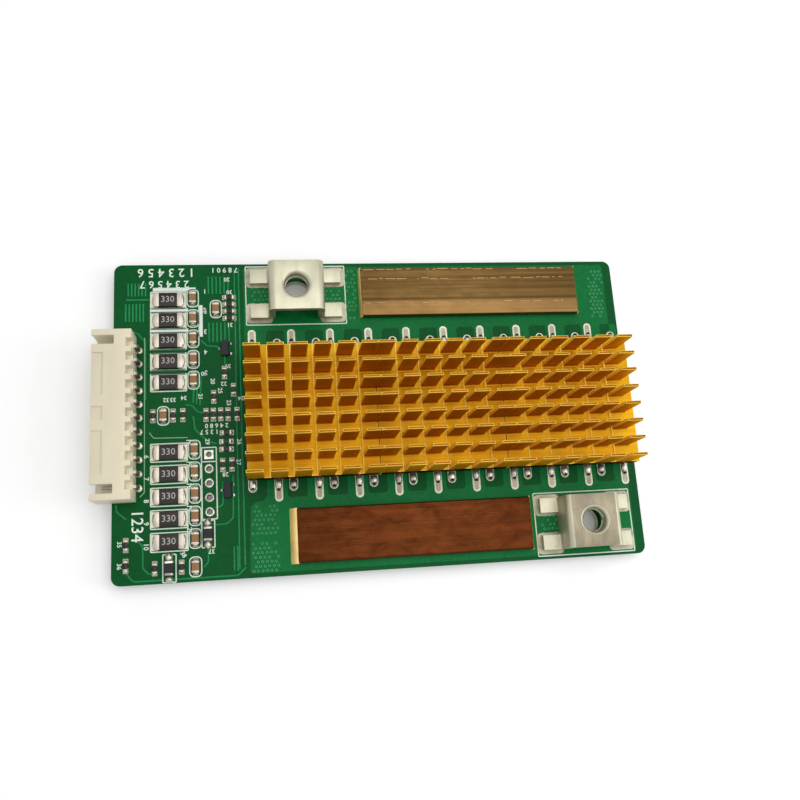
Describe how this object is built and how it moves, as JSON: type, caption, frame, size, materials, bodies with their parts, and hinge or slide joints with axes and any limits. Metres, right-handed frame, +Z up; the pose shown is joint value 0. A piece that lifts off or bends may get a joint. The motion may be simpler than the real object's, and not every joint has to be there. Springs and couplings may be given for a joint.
{
  "type": "battery management board",
  "caption": "Flat green circuit board with a cell connector, gold pin-fin heatsinks over power transistors, screw terminals and copper bus bars; balances and protects a battery pack.",
  "frame": {"origin": "middle of the whole part's outline in X and Y, at the lowest point of the connector's pin tails", "axes": "+Z up out of the component side, +X along the board's length from the cell connector to the power end, +Y towards the upper screw terminal"},
  "size_m": [0.0986, 0.058, 0.016],
  "materials": {
    "green_board": "glass-epoxy laminate under glossy green solder mask",
    "gold_aluminium": "gold anodised, satin",
    "thermal_tape": "soft, matt",
    "black_moulding": "moulded epoxy, matt",
    "tinned_strap": "tin-plated, matt",
    "bare_copper": "bare copper, dulled, drawn surface",
    "ivory_nylon": "moulded nylon, satin",
    "tinned_pins": "tin-plated, bright",
    "resistor_black": "black glaze with tinned ends",
    "capacitor_tan": "fired ceramic with tinned ends"
  },
  "bodies": {
    "root": {"circuit_board": "green_board", "heatsink_1": "gold_aluminium", "heatsink_2": "gold_aluminium", "heatsink_3": "gold_aluminium", "thermal_tape_1": "thermal_tape", "thermal_tape_2": "thermal_tape", "thermal_tape_3": "thermal_tape", "power_transistor_1": "black_moulding", "power_transistor_2": "black_moulding", "power_transistor_3": "black_moulding", "power_transistor_4": "black_moulding", "power_transistor_5": "black_moulding", "power_transistor_6": "black_moulding", "power_transistor_7": "black_moulding", "power_transistor_8": "black_moulding", "power_transistor_9": "black_moulding", "power_transistor_10": "black_moulding", "power_transistor_11": "black_moulding", "power_transistor_12": "black_moulding", "power_transistor_13": "black_moulding", "power_transistor_14": "black_moulding", "power_transistor_15": "black_moulding", "power_transistor_16": "black_moulding", "power_transistor_17": "black_moulding", "power_transistor_18": "black_moulding", "power_transistor_19": "black_moulding", "power_transistor_20": "black_moulding", "screw_terminal_upper": "tinned_strap", "screw_terminal_lower": "tinned_strap", "copper_bar_upper": "bare_copper", "copper_bar_lower": "bare_copper", "connector_housing": "ivory_nylon", "connector_pins": "tinned_pins", "balance_resistor_1": "resistor_black", "balance_resistor_2": "resistor_black", "balance_resistor_3": "resistor_black", "balance_resistor_4": "resistor_black", "balance_resistor_5": "resistor_black", "balance_resistor_6": "resistor_black", "balance_resistor_7": "resistor_black", "balance_resistor_8": "resistor_black", "balance_resistor_9": "resistor_black", "balance_resistor_10": "resistor_black", "filter_capacitors": "capacitor_tan", "diodes": "black_moulding", "chip_resistors": "resistor_black", "small_transistors": "black_moulding", "protection_ic_1": "black_moulding", "protection_ic_2": "black_moulding", "balance_transistors": "black_moulding", "shunt_resistors": "resistor_black"}
  },
  "joints": []
}
